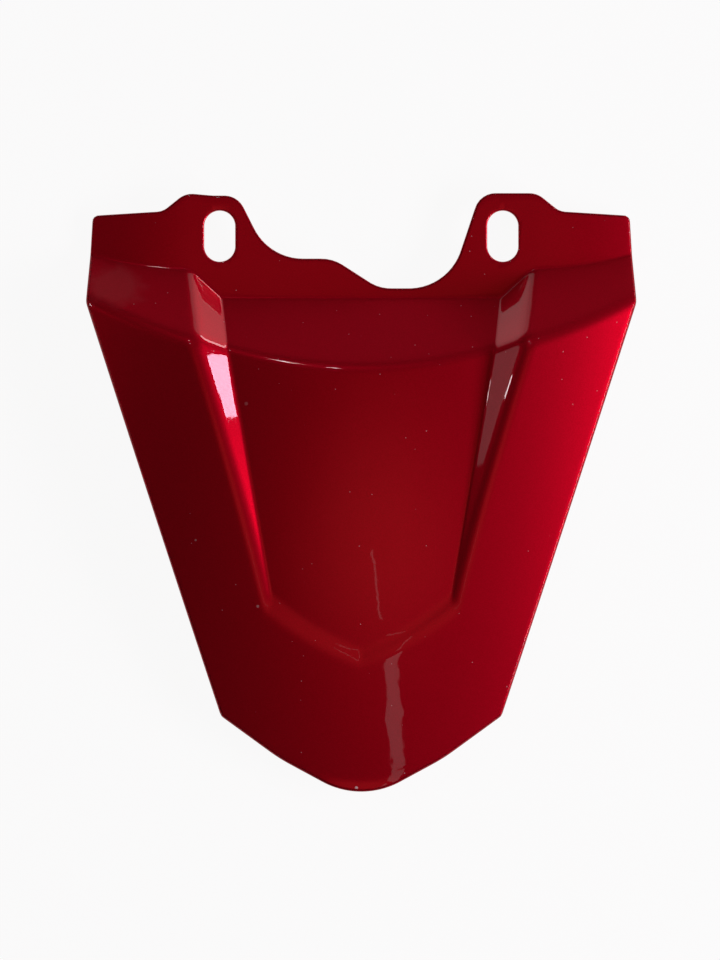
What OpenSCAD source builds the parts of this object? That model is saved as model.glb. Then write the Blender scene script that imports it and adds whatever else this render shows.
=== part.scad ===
// Motorcycle tail cover: a thin moulded shell that bolts down by two slotted ears.
// +Y points to the ears, -Y to the nose, +Z is the painted outer side.
// The cover rests on the two bent-down ends behind the flange and on the nose, all at z = 0.

/* [Shell] */
// Overall length from the ear tops to the nose tip
cover_l = 197.5; // [185:0.5:215]
// Overall width across the two crest corners
cover_w = 181; // [170:0.5:200]
// Moulded wall thickness
wall = 2.5; // [2:0.1:3.5]
// Depth of the turned-down rim along the sides and the nose
rim_depth = 5.5; // [4:0.1:8]
// Thickness of the turned-down rim
rim_t = 2; // [1.5:0.1:3]

/* [Crown] */
// Height of the crown centre line at the crest
crown_h = 33; // [28:0.5:38]
// Radius of the crown across the cover
crown_r = 215; // [190:5:320]
// Radius of the crown along the cover
crown_long_r = 620; // [450:10:900]

/* [Band] */
// Distance from the ear tops to the foot of the band
band_setback = 25; // [22:0.1:27]
// Rise angle of the band
band_angle = 39; // [34:0.5:44]

/* [Flange] */
// Width across the flange corners
flange_w = 177.5; // [165:0.5:179]
// Distance from the ear tops to the flange corners
flange_setback = 7.3; // [6.5:0.1:9]
// Width of the flat middle of the flange
flange_flat_w = 112; // [110:1:124]
// Radius of the bend towards each flange end
flange_bend_r = 145; // [110:5:220]
// Radius of the flange corners
flange_corner_r = 2; // [0.5:0.1:4]

/* [Ears and bay] */
// Width across the outer top corners of the ears
ear_span = 116; // [112:0.5:119]
// Width between the inner top corners of the ears
ear_gap_w = 80; // [76:0.5:83]
// Width across the feet of the ears' outer shoulders
ear_foot_span = 131; // [128:0.5:136]
// Distance from the ear tops to the shoulders beside them
shoulder_setback = 6; // [5:0.1:7]
// Radius of the ears' top corners
ear_r = 7; // [3:0.1:8]
// Radius of the ears' outer shoulders
shoulder_r = 6; // [2:0.1:8]
// Distance from the ear tops to the shallow side of the bay
bay_shallow = 21.6; // [18:0.1:23]
// Distance from the ear tops to the deep side of the bay
bay_deep = 31.4; // [28:0.1:33]
// Width of the bay at its floor
bay_floor_w = 59; // [54:0.5:62]
// Offset of the bay towards the left
bay_offset = 0.8; // [0:0.1:2]
// Distance from the centre line to the step in the bay floor, at its foot
bay_step_x = 5.9; // [3:0.1:8]
// Run of the sloping step in the bay floor
bay_step_run = 15.2; // [12:0.1:18]
// Radius where the bay floor turns up into the ears
bay_r = 18; // [12:0.5:18]
// Radius of the step in the bay floor
bay_step_r = 13; // [6:0.5:16]
// Height of the raised tip on the left ear
ear_tip_rise = 0.8; // [0.2:0.1:1.2]
// Length of the slope from that tip down to the rest of the left ear
ear_tip_run = 9; // [7:0.5:11]

/* [Slots] */
// Distance between the slot centres
slot_spacing = 93.4; // [90:0.1:97]
// Distance from the ear tops to the slot centres
slot_setback = 14.2; // [13:0.1:16]
// Width of each slot
slot_w = 10.2; // [8:0.1:12]
// Length of each slot
slot_l = 16.8; // [14:0.1:18]

/* [Tail] */
// Distance from the ear tops to the crest corners, where the cover is widest
crest_setback = 36.3; // [34:0.1:40]
// Radius of the crest corners in plan
crest_corner_r = 6; // [2:0.5:12]
// Width across the rear corners
tail_w = 92.6; // [84:0.5:100]
// Distance from the rear corners to the nose tip
tail_l = 25; // [22:0.5:30]
// Radius of the rear corners
tail_corner_r = 2.5; // [1:0.1:5]
// Width at the bend halfway along the nose edges
nose_bend_w = 54; // [50:0.5:60]
// Angle of the nose edges on either side of the tip
nose_angle = 28.5; // [25:0.5:32]
// Radius of the bend halfway along the nose edges
nose_bend_r = 60; // [20:5:90]
// Radius of the nose tip
nose_r = 27; // [18:0.5:30]

/* [Centre panel] */
// Depth of the recessed panel at the crest, measured upright
panel_depth = 7.8; // [5:0.1:9]
// Radius of the panel floor along the cover
panel_long_r = 400; // [340:10:600]
// Width of the panel floor at the crest
panel_crest_w = 87; // [80:0.5:91]
// Width of the panel floor where it meets the flange
panel_front_w = 92; // [84:0.5:98]
// Width of the panel floor at its rear corners
panel_rear_w = 59; // [50:0.5:66]
// Distance from the ear tops to the panel's rear corners
panel_l = 133; // [125:0.5:140]
// Length of the panel's pointed end
panel_point_l = 18; // [12:0.5:22]
// Slope of the panel's side walls on the crown
panel_side_angle = 30; // [26:0.5:36]
// Width of each panel side wall where it meets the flange
panel_side_w = 10.4; // [8:0.1:12]
// Slope of the panel's pointed end
panel_end_angle = 12; // [8:0.5:20]

/* [Smoothness] */
// Number of segments along the crown
crown_steps = 20; // [12:1:30]
// Number of facets along each side wall of the panel
panel_side_steps = 5; // [3:1:8]

/* [Hidden] */
$fn = 96;
reach = 400;
paint = [0.42, 0.02, 0.05];
front_y = cover_l / 2;
nose_y = -cover_l / 2;
band_y = front_y - band_setback;
tail_y = nose_y + tail_l;

// Flange: its underside reaches z = 0 where the bent-down ends are widest
bend_run = (cover_w - flange_flat_w) / 2;
bend_drop = flange_bend_r - sqrt(pow(flange_bend_r, 2) - pow(bend_run, 2));
flange_z = wall + bend_drop;
band_end_y = band_y + bend_drop / tan(band_angle);

// Height of an arc of radius r about centre c, sunk by d along its own normals
function arc_z(y, c, r, d = 0) = c.y + sqrt(pow(r - d, 2) - pow(y - c.x, 2));

// Centre, below them both, of arcs at radius p_r from p and q_r from q behind it
function arc_centre(p, p_r, q, q_r) =
    let (
        chord = p - q,
        length = norm(chord),
        along = (q_r * q_r - p_r * p_r + length * length) / (2 * length),
        down = sqrt(q_r * q_r - along * along)
    )
    q + (along * chord + down * [chord.y, -chord.x]) / length;

// Crown: a barrel about an axis along Y. Its rim stands on z = 0 at the nose
crest_y = band_y - (crown_h - flange_z) / tan(band_angle);
crown_axis_z = crown_h - crown_r;
crown_centre = arc_centre([crest_y, crown_h], crown_long_r, [nose_y, 0], crown_long_r - rim_depth);

// Centre panel: the same barrel, sunk at the crest and pitched to meet the crown at its point
panel_band_y = band_y - panel_depth / tan(band_angle);
panel_rear_y = front_y - panel_l;
panel_tip_y = panel_rear_y - panel_point_l;
panel_tip_sink = 0.3;
panel_tip_z = arc_z(panel_tip_y, crown_centre, crown_long_r) - panel_tip_sink;
panel_centre = arc_centre(
    [crest_y, crown_h - panel_depth], panel_long_r,
    [panel_tip_y, panel_tip_z], panel_long_r
);

// Point on the panel floor at x, y
function floor_point(x, y) =
    let (r = arc_z(y, panel_centre, panel_long_r) - crown_axis_z)
    [x, y, crown_axis_z + sqrt(r * r - x * x)];

panel_crest_x = panel_crest_w / 2;
panel_crest_y = panel_band_y - (floor_point(panel_crest_x, crest_y).z - flange_z) / tan(band_angle);
panel_crest = floor_point(panel_crest_x, panel_crest_y);
panel_rear = floor_point(panel_rear_w / 2, panel_rear_y);
panel_tip = floor_point(0, panel_tip_y);
panel_front = [panel_front_w / 2, panel_band_y, flange_z];
panel_front_outer = panel_front + [panel_side_w, band_y - panel_band_y, 0];

// Plan outline: corners [x, y, radius], clockwise from the left flange corner
shallow_y = front_y - bay_shallow;
deep_y = front_y - bay_deep;
shoulder_y = front_y - shoulder_setback;
flange_y = front_y - flange_setback;
left_ear_y = front_y - ear_tip_rise;
front_corners = [
    [-flange_w / 2, flange_y, flange_corner_r],
    [-ear_foot_span / 2, shoulder_y, shoulder_r],
    [-ear_span / 2, front_y, ear_r],
    [-ear_span / 2 + ear_tip_run, left_ear_y, ear_r],
    [-ear_gap_w / 2 - bay_offset, left_ear_y, ear_r],
    [-bay_floor_w / 2 - bay_offset, shallow_y, bay_r],
    [bay_step_x - bay_step_run, shallow_y, bay_step_r],
    [bay_step_x, deep_y, bay_step_r],
    [bay_floor_w / 2 - bay_offset, deep_y, bay_r],
    [ear_gap_w / 2 - bay_offset, front_y, ear_r],
    [ear_span / 2, front_y, ear_r],
    [ear_foot_span / 2, shoulder_y, shoulder_r],
    [flange_w / 2, flange_y, flange_corner_r]
];
// The nose edges meet beyond the tip, by what its rounding takes off
nose_corner_y = nose_y - nose_r * (1 / cos(nose_angle) - 1);
side_corners = [
    [cover_w / 2, front_y - crest_setback, crest_corner_r],
    [tail_w / 2, tail_y, tail_corner_r],
    [nose_bend_w / 2, nose_corner_y + tan(nose_angle) * nose_bend_w / 2, nose_bend_r]
];
outline_corners = concat(
    front_corners,
    side_corners,
    [[0, nose_corner_y, nose_r]],
    [for (i = [len(side_corners) - 1:-1:0]) let (c = side_corners[i]) [-c.x, c.y, c.z]]
);

function plan(c) = [c.x, c.y];
function unit(v) = v / norm(v);
function right_of(v) = [v.y, -v.x];

// Corner q between p and s, moved inward by d with its radius
function inset_corner(p, q, s, d) =
    let (
        a = right_of(unit(plan(q) - plan(p))),
        b = right_of(unit(plan(s) - plan(q))),
        moved = plan(q) + (a + b) * d / (1 + a * b),
        turn = cross(a, b) < 0 ? -d : d
    )
    [moved.x, moved.y, max(q.z + turn, 0.2)];

// Arc that rounds corner q between p and s
function corner_arc(p, q, s) =
    let (
        a = unit(plan(p) - plan(q)),
        b = unit(plan(s) - plan(q)),
        opening = acos(a * b),
        tangent = q.z / tan(opening / 2),
        centre = plan(q) + unit(a + b) * q.z / sin(opening / 2),
        start = plan(q) + a * tangent - centre,
        turn = (cross(a, b) < 0 ? 1 : -1) * (180 - opening),
        steps = max(2, ceil((180 - opening) / 9))
    )
    [for (i = [0:steps])
        let (t = turn * i / steps)
        centre + [start.x * cos(t) - start.y * sin(t), start.x * sin(t) + start.y * cos(t)]];

function around(list, i) = list[(i + len(list)) % len(list)];
function inset(corners, d) =
    [for (i = [0:len(corners) - 1])
        inset_corner(around(corners, i - 1), corners[i], around(corners, i + 1), d)];
function rounded(corners) =
    [for (i = [0:len(corners) - 1])
        each corner_arc(around(corners, i - 1), corners[i], around(corners, i + 1))];

// Normal of the plane through p, q and s, turned upward
function up_normal(p, q, s) = let (n = unit(cross(q - p, s - p))) n.z < 0 ? -n : n;

// Everything below the plane through p with normal n, sunk by d
module below(p, n, d) {
    translate(p)
        rotate([0, acos(n.z), atan2(n.y, n.x)])
            translate([-reach / 2, -reach / 2, -reach - d])
                cube(reach);
}

// Everything below a crowned surface whose long arc has this centre and radius, sunk by d
module barrel(centre, r, d) {
    ends = [nose_y - 20, front_y + 5];
    step = (ends[1] - ends[0]) / crown_steps;
    long_arc = [for (y = [ends[0]:step:ends[1] + step / 2])
        [arc_z(y, centre, r, d) - crown_axis_z, y]];
    translate([0, 0, crown_axis_z])
        rotate([-90, 0, 0])
            rotate_extrude($fn = 480)
                polygon(concat([[0, ends[0]]], long_arc, [[0, long_arc[crown_steps].y]]));
}

module band(y, d) {
    below([0, y, flange_z], [0, sin(band_angle), cos(band_angle)], d);
}

module flange(d) {
    far = cover_w / 2 + 5 - flange_flat_w / 2;
    sweep = asin(far / flange_bend_r);
    steps = 8;
    side = [for (i = [0:steps])
        let (t = sweep * i / steps)
        [flange_flat_w / 2 + (flange_bend_r - d) * sin(t),
            flange_z - flange_bend_r + (flange_bend_r - d) * cos(t)]];
    foot = -reach / 4;
    translate([0, front_y + 5, 0])
        rotate([90, 0, 0])
            linear_extrude(front_y + 5 - crest_y)
                polygon(concat(
                    [for (i = [steps:-1:0]) [-side[i].x, side[i].y]],
                    side,
                    [[side[steps].x, foot], [-side[steps].x, foot]]
                ));
}

// Rising side wall of the panel, on the right. It follows the floor's arc in narrow facets
module panel_side(d) {
    uphill = [cos(panel_side_angle), 0, sin(panel_side_angle)];
    run = panel_rear - panel_crest;
    foot = [for (i = [0:panel_side_steps])
        floor_point(panel_crest.x + run.x * i / panel_side_steps, panel_crest.y + run.y * i / panel_side_steps)];
    intersection() {
        below(panel_front, up_normal(panel_front, panel_crest, panel_front_outer), d);
        intersection_for (i = [0:panel_side_steps - 1])
            below(foot[i], up_normal(foot[i], foot[i + 1], foot[i] + uphill), d);
    }
}

// Gentle rise behind the panel, on the right of its point
module panel_end(d) {
    edge = plan(panel_rear) - plan(panel_tip);
    back = right_of(unit(edge));
    uphill = [back.x, back.y, tan(panel_end_angle)];
    below(panel_tip, up_normal(panel_tip, panel_rear, panel_tip + uphill), d);
}

// Everything below the painted surface, sunk by d
module form(d) {
    flange(d);
    intersection() {
        barrel(crown_centre, crown_long_r, d);
        band(band_y, d);
        union() {
            intersection() {
                barrel(panel_centre, panel_long_r, d);
                band(panel_band_y, d);
            }
            for (side = [0, 1])
                mirror([side, 0, 0]) {
                    panel_side(d);
                    panel_end(d);
                }
        }
    }
}

module outline(d) {
    linear_extrude(3 * crown_h, center = true)
        polygon(rounded(inset(outline_corners, d)));
}

// Room under the shell: inside the rim, and open at the flange's front and ends
module inside() {
    outline(rim_t);
    translate([-cover_w, band_end_y, -crown_h])
        cube([2 * cover_w, cover_l, 2 * crown_h]);
}

module slot() {
    round_y = (slot_l - slot_w) / 2;
    translate([0, 0, -1]) {
        translate([-slot_w / 2, -round_y, 0])
            cube([slot_w, 2 * round_y, flange_z + 2]);
        for (end = [-1, 1])
            translate([0, end * round_y, 0])
                cylinder(h = flange_z + 2, d = slot_w);
    }
}

module tail_cover() {
    color(paint)
        difference() {
            intersection() {
                outline(0);
                form(0);
            }
            intersection() {
                inside();
                form(wall);
            }
            form(rim_depth);
            flange(wall);
            for (side = [-1, 1])
                translate([side * slot_spacing / 2, front_y - slot_setback, 0])
                    slot();
        }
}

tail_cover();
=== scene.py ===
import math
from bisect import bisect_right
from itertools import accumulate

import bpy
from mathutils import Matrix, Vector


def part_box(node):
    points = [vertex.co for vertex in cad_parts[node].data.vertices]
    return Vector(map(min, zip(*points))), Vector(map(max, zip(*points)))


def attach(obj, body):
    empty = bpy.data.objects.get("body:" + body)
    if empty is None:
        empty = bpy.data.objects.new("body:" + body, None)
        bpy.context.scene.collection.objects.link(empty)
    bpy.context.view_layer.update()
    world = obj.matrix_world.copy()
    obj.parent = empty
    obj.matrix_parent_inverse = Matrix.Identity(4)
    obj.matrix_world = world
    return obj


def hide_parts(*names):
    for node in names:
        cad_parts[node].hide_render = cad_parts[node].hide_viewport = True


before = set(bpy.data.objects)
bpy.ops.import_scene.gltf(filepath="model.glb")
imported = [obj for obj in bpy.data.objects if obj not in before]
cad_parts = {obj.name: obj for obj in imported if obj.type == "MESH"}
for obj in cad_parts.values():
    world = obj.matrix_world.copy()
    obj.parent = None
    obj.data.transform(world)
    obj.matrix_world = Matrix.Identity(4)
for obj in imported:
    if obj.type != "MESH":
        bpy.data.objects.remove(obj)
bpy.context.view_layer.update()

bl_info = {
    "name": "Motorcycle tail cover",
    "version": (1, 0, 0),
    "blender": (4, 5, 0),
    "location": "View3D > Sidebar > Tail cover",
    "description": "Builds the painted tail cover round its packed frame",
    "category": "Object",
}

NODE = "tail_cover"
BODY = "root"
MM = 0.001
cad_low = Vector(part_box(NODE)[0])


def metres(name, description, default):
    """A length that the user can change."""
    return bpy.props.FloatProperty(name=name, description=description, default=default, unit="LENGTH")


def degrees(name, description, default):
    """An angle that the user can change, with its default in degrees."""
    return bpy.props.FloatProperty(
        name=name, description=description, default=math.radians(default), subtype="ANGLE")


def tint(name, description, default):
    """A linear colour that the user can change."""
    return bpy.props.FloatVectorProperty(
        name=name, description=description, default=default, size=3, subtype="COLOR", min=0, max=1)


class TAILCOVER_PG_shell(bpy.types.PropertyGroup):
    """Sizes of the shell. They are the solid's own, and its edges are rounded here"""

    cover_length: metres("Length", "From the ear tops to the nose tip", 0.1975)
    cover_width: metres("Width", "Across the two crest corners", 0.181)
    wall: metres("Wall", "Moulded wall thickness", 0.0025)
    rim_depth: metres("Rim depth", "Depth of the turned-down rim", 0.0055)
    rim_thickness: metres("Rim thickness", "Thickness of the turned-down rim", 0.002)
    crown_height: metres("Crown height", "Height of the crown centre line at the crest", 0.033)
    crown_radius: metres("Crown radius", "Radius of the crown across the cover", 0.215)
    crown_long_radius: metres("Crown long radius", "Radius of the crown along the cover", 0.62)
    band_setback: metres("Band setback", "From the ear tops to the foot of the band", 0.025)
    band_angle: degrees("Band angle", "Rise angle of the band", 39)
    flange_width: metres("Flange width", "Across the flange corners", 0.1775)
    flange_setback: metres("Flange setback", "From the ear tops to the flange corners", 0.0073)
    flange_flat: metres("Flange flat", "Width of the flat middle of the flange", 0.112)
    flange_bend: metres("Flange bend", "Radius of the bend towards each flange end", 0.145)
    flange_corner: metres("Flange corner", "Radius of the flange corners", 0.002)
    ear_span: metres("Ear span", "Across the outer top corners of the ears", 0.116)
    ear_gap: metres("Ear gap", "Between the inner top corners of the ears", 0.08)
    ear_foot: metres("Ear foot", "Across the feet of the ears' shoulders", 0.131)
    shoulder_setback: metres("Shoulder setback", "From the ear tops to the shoulders", 0.006)
    ear_radius: metres("Ear radius", "Radius of the ears' top corners", 0.007)
    shoulder_radius: metres("Shoulder radius", "Radius of the shoulders", 0.006)
    bay_shallow: metres("Bay shallow", "From the ear tops to the bay's shallow side", 0.0216)
    bay_deep: metres("Bay deep", "From the ear tops to the bay's deep side", 0.0314)
    bay_floor: metres("Bay floor", "Width of the bay at its floor", 0.059)
    bay_offset: metres("Bay offset", "Offset of the bay towards the left", 0.0008)
    bay_step: metres("Bay step", "From the centre to the foot of the step in the bay", 0.0059)
    bay_step_run: metres("Bay step run", "Run of the sloping step", 0.0152)
    bay_radius: metres("Bay radius", "Radius where the bay turns up into the ears", 0.018)
    bay_step_radius: metres("Bay step radius", "Radius of the step", 0.013)
    ear_tip_rise: metres("Ear tip rise", "Height of the raised tip on the left ear", 0.0008)
    ear_tip_run: metres("Ear tip run", "Length of the slope down from that tip", 0.009)
    slot_spacing: metres("Slot spacing", "Between the slot centres", 0.0934)
    slot_setback: metres("Slot setback", "From the ear tops to the slot centres", 0.0142)
    slot_width: metres("Slot width", "Width of each slot", 0.0102)
    slot_length: metres("Slot length", "Length of each slot", 0.0168)
    slot_edge: metres("Slot edge", "Radius of each slot's edges", 0.0007)
    crest_setback: metres("Crest setback", "From the ear tops to the crest corners", 0.0363)
    crest_corner: metres("Crest corner", "Radius of the crest corners", 0.006)
    tail_width: metres("Tail width", "Across the rear corners", 0.0926)
    tail_length: metres("Tail length", "From the rear corners to the nose tip", 0.025)
    tail_corner: metres("Tail corner", "Radius of the rear corners", 0.0025)
    nose_bend: metres("Nose bend", "Width at the bend of the nose edges", 0.054)
    nose_angle: degrees("Nose angle", "Angle of the nose edges beside the tip", 28.5)
    nose_bend_radius: metres("Nose bend radius", "Radius of that bend", 0.06)
    nose_radius: metres("Nose radius", "Radius of the nose tip", 0.027)
    panel_depth: metres("Panel depth", "Depth of the recessed panel at the crest", 0.0078)
    panel_long_radius: metres("Panel long radius", "Radius of the panel floor along the cover", 0.4)
    panel_crest: metres("Panel crest width", "Width of the panel floor at the crest", 0.087)
    panel_front: metres("Panel front width", "Width of the panel floor at the flange", 0.092)
    panel_rear: metres("Panel rear width", "Width of the panel floor at its rear corners", 0.059)
    panel_length: metres("Panel length", "From the ear tops to the panel's rear corners", 0.133)
    panel_point: metres("Panel point", "Length of the panel's pointed end", 0.018)
    panel_tip_sink: metres("Panel tip sink", "Depth of the panel at its point", 0.0003)
    panel_side_angle: degrees("Panel side angle", "Slope of the panel's side walls", 30)
    panel_side: metres("Panel side width", "Width of each side wall at the flange", 0.0104)
    panel_end_angle: degrees("Panel end angle", "Slope of the panel's pointed end", 12)
    crest_softness: metres("Crest softness", "How far the panel's crest is eased", 0.0014)
    flank_softness: metres("Flank softness", "How far the crest beside the panel is eased", 0.0024)
    crease_softness: metres("Crease softness", "How far the crease at the flange is eased", 0.0004)
    foot_softness: metres("Foot softness", "How far the foot of the side walls is eased", 0.0005)
    top_softness: metres("Top softness", "How far the top of the side walls is eased", 0.0022)
    end_softness: metres("End softness", "How far the panel's pointed end is eased", 0.0008)
    rim_roll: metres("Rim roll", "Radius where the paint rolls over the rim", 0.0009)
    front_roll: metres("Front roll", "Radius where the paint rolls over the flange edge", 0.0007)


class TAILCOVER_PG_paint(bpy.types.PropertyGroup):
    """Colours of the finish"""

    candy: tint("Candy red", "Colour of the metallic base under the clear coat", (0.5, 0.0009, 0.015))
    depth: tint("Deep red", "Colour of the paint where it lies thick", (0.44, 0.0007, 0.011))
    # The edge red is a darker copy of the paint, laid on the rim: painted shade for the dark line round the
    # cover's edges.
    edge: tint("Edge red", "Colour of the paint over the edges, darker as painted shade", (0.16, 0.0006, 0.006))
    dust: tint("Dust", "Colour of the specks on the paint", (0.6, 0.25, 0.28))
    # The chip colour is also laid faintly at the left end of the band, as painted sheen and scuff.
    chip_and_sheen: tint("Chip", "Colour of the bare primer in a chip", (0.7, 0.62, 0.62))
    plastic: tint("Bare plastic", "Colour of the unpainted underside", (0.022, 0.021, 0.022))


class TAILCOVER_PG_stage(bpy.types.PropertyGroup):
    """Camera, floor and lamps"""

    camera_height: metres("Camera height", "Height of the camera above the floor", 2.0)
    view_height: metres("View height", "Length that the picture's height covers at the cover", 0.3158)
    view_centre: bpy.props.FloatVectorProperty(
        name="View centre", description="Point under the middle of the picture",
        default=(-0.0004, 0.0041, 0.012), size=3, subtype="TRANSLATION")
    floor_colour: tint("Floor", "Colour of the floor", (0.9, 0.9, 0.9))


# Rounds of the searches below, more than they need to settle, and the step that tests a slope
HALVINGS = 40
SLIDES = 8
MEETINGS = 30
PROBE = 0.001 * MM
# How much wider ridges and hollows are eased on the underside
UNDERSIDE_EASE = (0.5, 2.5)


def arc_centre(p, p_radius, q, q_radius):
    """Centre, below them both, of arcs at p_radius from p and at q_radius from q behind it."""
    chord = p - q
    length = chord.length
    along = (q_radius ** 2 - p_radius ** 2 + length ** 2) / (2 * length)
    down = math.sqrt(q_radius ** 2 - along ** 2)
    return q + (along * chord + down * Vector((chord.y, -chord.x))) / length


def soft_min(a, b, ease):
    """The lower of two heights, with the edge between them eased."""
    gap = max(ease - abs(a - b), 0)
    return min(a, b) - gap * gap / (4 * ease)


def soft_max(a, b, ease):
    """The higher of two heights, with the hollow between them eased."""
    return -soft_min(-a, -b, ease)


def smooth_step(t):
    """0 below t = 0, 1 above t = 1, and smooth between."""
    t = min(max(t, 0), 1)
    return t * t * (3 - 2 * t)


def angles(turn, steps):
    """Angles from 0 to turn in equal steps."""
    return [turn * i / steps for i in range(steps + 1)]


class Plane:
    """A plane through three points, as a height over the plan."""

    def __init__(self, p, q, s):
        normal = (q - p).cross(s - p).normalized()
        self.point = p
        self.normal = normal if normal.z > 0 else -normal

    def height(self, x, y, sink):
        across = self.normal.x * (x - self.point.x) + self.normal.y * (y - self.point.y)
        return self.point.z - (across + sink) / self.normal.z


class Form:
    """The cover's surfaces as heights over the plan, each sunk along its own normals."""

    def __init__(self, sizes):
        self.sizes = sizes
        self.front_y = sizes.cover_length / 2
        self.nose_y = -self.front_y
        self.tail_y = self.nose_y + sizes.tail_length
        self.band_y = self.front_y - sizes.band_setback
        self.rise = math.tan(sizes.band_angle)
        self.band_cos = math.cos(sizes.band_angle)
        self.flat_x = sizes.flange_flat / 2
        self.bend = sizes.flange_bend
        bend_run = (sizes.cover_width - sizes.flange_flat) / 2
        bend_drop = self.bend - math.sqrt(self.bend ** 2 - bend_run ** 2)
        self.wall = sizes.wall
        self.flange_z = self.wall + bend_drop
        self.band_end_y = self.band_y + bend_drop / self.rise
        self.crest_y = self.band_y - (sizes.crown_height - self.flange_z) / self.rise
        self.axis_z = sizes.crown_height - sizes.crown_radius
        self.crown_arc = sizes.crown_long_radius
        self.crown_centre = arc_centre(
            Vector((self.crest_y, sizes.crown_height)), self.crown_arc,
            Vector((self.nose_y, 0)), self.crown_arc - sizes.rim_depth)
        self.set_panel(sizes)

    def set_panel(self, sizes):
        """The recessed panel's floor, its foot line and the planes round it."""
        self.panel_band_y = self.band_y - sizes.panel_depth / self.rise
        rear_y = self.front_y - sizes.panel_length
        tip_y = rear_y - sizes.panel_point
        tip_z = self.arc(tip_y, self.crown_centre, self.crown_arc, 0) - sizes.panel_tip_sink
        self.panel_arc = sizes.panel_long_radius
        self.panel_centre = arc_centre(
            Vector((self.crest_y, sizes.crown_height - sizes.panel_depth)), self.panel_arc,
            Vector((tip_y, tip_z)), self.panel_arc)
        crest_x = sizes.panel_crest / 2
        crest_height = self.floor(crest_x, self.crest_y, 0)
        crest_y = self.panel_band_y - (crest_height - self.flange_z) / self.rise
        self.crest = self.on_floor(crest_x, crest_y)
        self.rear = self.on_floor(sizes.panel_rear / 2, rear_y)
        self.tip = self.on_floor(0, tip_y)
        self.front = Vector((sizes.panel_front / 2, self.panel_band_y, self.flange_z))
        self.front_outer = self.front + Vector((sizes.panel_side, self.band_y - self.panel_band_y, 0))
        self.foot_lean = (self.rear.x - self.crest.x) / (self.rear.y - self.crest.y)
        self.side_rise = math.tan(sizes.panel_side_angle)
        self.side_cos = math.cos(sizes.panel_side_angle)
        self.side_plane = Plane(self.front, self.crest, self.front_outer)
        edge = (self.rear - self.tip).xy.normalized()
        uphill = Vector((edge.y, -edge.x, math.tan(sizes.panel_end_angle)))
        self.end_plane = Plane(self.tip, self.rear, self.tip + uphill)

    def arc(self, y, centre, radius, sink):
        return centre.y + math.sqrt((radius - sink) ** 2 - (y - centre.x) ** 2)

    def barrel(self, x, y, centre, radius, sink):
        lift = self.arc(y, centre, radius, sink) - self.axis_z
        return self.axis_z + math.sqrt(lift * lift - x * x)

    def crown(self, x, y, sink):
        return self.barrel(x, y, self.crown_centre, self.crown_arc, sink)

    def floor(self, x, y, sink):
        return self.barrel(x, y, self.panel_centre, self.panel_arc, sink)

    def on_floor(self, x, y):
        return Vector((x, y, self.floor(x, y, 0)))

    def ramp(self, y, foot_y, sink):
        return self.flange_z + (foot_y - y) * self.rise - sink / self.band_cos

    def band(self, x, y, sink):
        return self.ramp(y, self.band_y, sink)

    def panel_band(self, x, y, sink):
        return self.ramp(y, self.panel_band_y, sink)

    def flange(self, x, y, sink):
        over = max(abs(x) - self.flat_x, 0)
        return self.flange_z - self.bend + math.sqrt((self.bend - sink) ** 2 - over ** 2)

    def crown_side(self, x, y, sink):
        """The panel's side wall on the crown. It rises from the foot line at one angle."""
        foot_x = self.crest.x + (y - self.crest.y) * self.foot_lean
        foot_z = self.floor(foot_x, y, 0)
        return foot_z + self.side_rise * (abs(x) - foot_x) - sink / self.side_cos

    def band_side(self, x, y, sink):
        return self.side_plane.height(abs(x), y, sink)

    def side(self, x, y, sink):
        return min(self.crown_side(x, y, sink), self.band_side(x, y, sink))

    def end(self, x, y, sink):
        return self.end_plane.height(abs(x), y, sink)

    def height(self, x, y, sink, ridge=1, hollow=1):
        """The whole painted surface, eased along its edges. ridge and hollow widen the easing."""
        ease = self.sizes
        bed = soft_min(self.floor(x, y, sink), self.panel_band(x, y, sink), ease.crest_softness * ridge)
        wall_top = soft_min(
            self.crown_side(x, y, sink), self.band_side(x, y, sink), ease.crest_softness * ridge)
        bed = soft_max(bed, wall_top, ease.foot_softness * hollow)
        bed = soft_max(bed, self.end(x, y, sink), ease.end_softness * hollow)
        body = soft_min(self.crown(x, y, sink), self.band(x, y, sink), ease.flank_softness * ridge)
        body = soft_min(body, bed, ease.top_softness * ridge)
        return soft_max(self.flange(x, y, sink), body, ease.crease_softness * hollow)

    def rim_foot(self, x, y):
        """Height of the rim's lower edge. Under the flange there is no rim."""
        foot = self.height(x, y, self.sizes.rim_depth)
        if y > self.crest_y:
            foot = max(foot, self.flange(x, y, self.wall))
        return foot


def left_of(v):
    return Vector((-v.y, v.x))


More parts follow.
